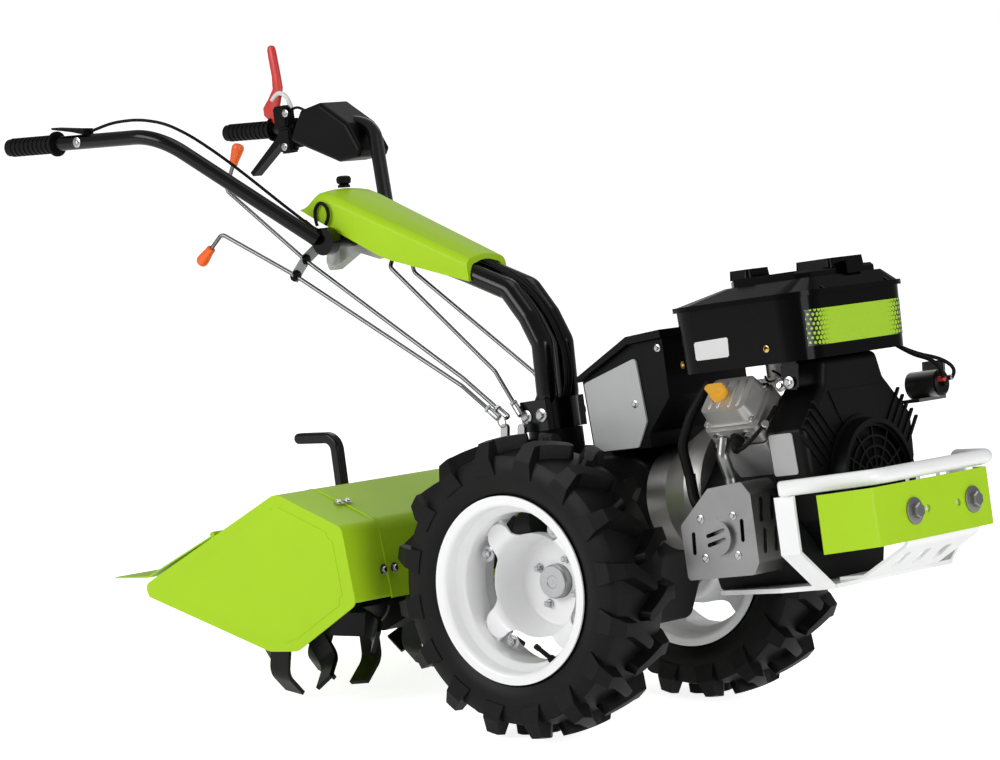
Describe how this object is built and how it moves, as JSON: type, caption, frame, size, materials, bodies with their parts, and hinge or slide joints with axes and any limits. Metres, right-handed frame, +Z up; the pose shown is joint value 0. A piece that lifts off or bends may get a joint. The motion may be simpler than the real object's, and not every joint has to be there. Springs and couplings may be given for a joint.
{
  "type": "walking tractor",
  "caption": "Two-wheeled walking tractor with a twin-cylinder engine in front, a rear tiller under a folded hood and long handles on a swinging column.",
  "frame": {"origin": "on the ground, midway between the grips' rear end and the front plate, in the middle plane", "axes": "+X forward in the direction of travel, +Y to the machine's left, +Z up from the ground it is parked on"},
  "size_m": [1.9674, 0.7, 1.1783],
  "materials": {
    "tyre": "matt",
    "white_paint": "gloss",
    "green_paint": "gloss",
    "black_paint": "satin",
    "grey_paint": "satin",
    "grey_shroud": "satin",
    "bare_steel": "satin",
    "zinc": "satin",
    "dark_iron": "rough",
    "cast_aluminium": "cast",
    "dark_aluminium": "cast",
    "yellow_plastic": "satin",
    "black_plastic": "matt",
    "gloss_black": "gloss",
    "green_plastic": "gloss",
    "orange_plastic": "gloss",
    "red_plastic": "gloss",
    "black_rubber": "matt"
  },
  "bodies": {
    "tractor": {"air_box": "gloss_black", "air_box_lid": "gloss_black", "battery_box": "black_plastic", "battery_box_cap": "black_plastic", "battery_box_panels": "grey_paint", "breather_hose": "black_rubber", "bumper_bar": "white_paint", "bumper_strut_left": "white_paint", "bumper_strut_right": "white_paint", "clutch_housing": "cast_aluminium", "cylinder_shrouds": "grey_shroud", "cylinders": "cast_aluminium", "engine_base_plate": "white_paint", "engine_block": "dark_aluminium", "exhaust_pipe": "bare_steel", "fan_grille": "black_plastic", "fan_shroud": "black_plastic", "front_plate": "green_paint", "gearbox_housing": "dark_iron", "intake_manifold": "cast_aluminium", "muffler": "bare_steel", "muffler_guard": "bare_steel", "oil_cap": "yellow_plastic", "selector_levers": "zinc", "skid_plate": "white_paint", "solenoid_bracket": "bare_steel", "tiller_gear_case": "dark_iron", "tiller_hood": "green_paint", "tiller_side_left": "green_paint", "tiller_side_right": "green_paint", "valve_covers": "cast_aluminium"},
    "wheel_left": {"tyre_left": "tyre", "rim_left": "white_paint", "wheel_disc_left": "white_paint", "wheel_hub_left": "bare_steel"},
    "wheel_right": {"tyre_right": "tyre", "rim_right": "white_paint", "wheel_disc_right": "white_paint", "wheel_hub_right": "bare_steel"},
    "rotor": {"rotor_shaft": "black_paint", "tines_left": "black_paint", "tines_right": "black_paint"},
    "flap": {"rear_flap": "green_paint"},
    "spur": {"depth_spur": "black_paint"},
    "column": {"steering_column": "black_paint", "console_bracket": "grey_paint", "console_cover": "green_plastic", "gear_rods": "zinc", "rod_knobs": "orange_plastic", "rod_clips": "black_rubber", "column_cables": "black_rubber"},
    "handlebar": {"handle_pivot": "black_paint", "handle_left": "black_paint", "handle_right": "black_paint", "grip_left": "black_rubber", "grip_right": "black_rubber", "control_housing": "black_plastic", "hand_levers": "black_plastic", "stop_lever": "red_plastic", "handle_cable": "black_rubber"}
  },
  "joints": [
    {"name": "wheel_left_spin", "type": "hinge", "parent": "tractor", "child": "wheel_left", "pos_m": [0.2792, 0.2536, 0.27], "axis": [0, 1, 0], "continuous": true},
    {"name": "wheel_right_spin", "type": "hinge", "parent": "tractor", "child": "wheel_right", "pos_m": [0.2792, -0.2536, 0.27], "axis": [0, 1, 0], "continuous": true},
    {"name": "rotor_spin", "type": "hinge", "parent": "tractor", "child": "rotor", "pos_m": [-0.2818, 0, 0.16905], "axis": [0, 1, 0], "continuous": true},
    {"name": "flap_lift", "type": "hinge", "parent": "tractor", "child": "flap", "pos_m": [-0.42689, 0, 0.30086], "axis": [0, 1, 0], "range_deg": [0, 35]},
    {"name": "spur_slide", "type": "slide", "parent": "tractor", "child": "spur", "axis": [-0.1736, 0, 0.9848], "range_m": [-0.09, 0.04]},
    {"name": "column_swing", "type": "hinge", "parent": "tractor", "child": "column", "pos_m": [0.12288, 0, 0.51153], "axis": [-0.1736, 0, 0.9848], "range_deg": [-25, 25]},
    {"name": "handle_height", "type": "hinge", "parent": "column", "child": "handlebar", "pos_m": [-0.35579, 0, 0.83634], "axis": [0, 1, 0], "range_deg": [-12, 12]}
  ]
}
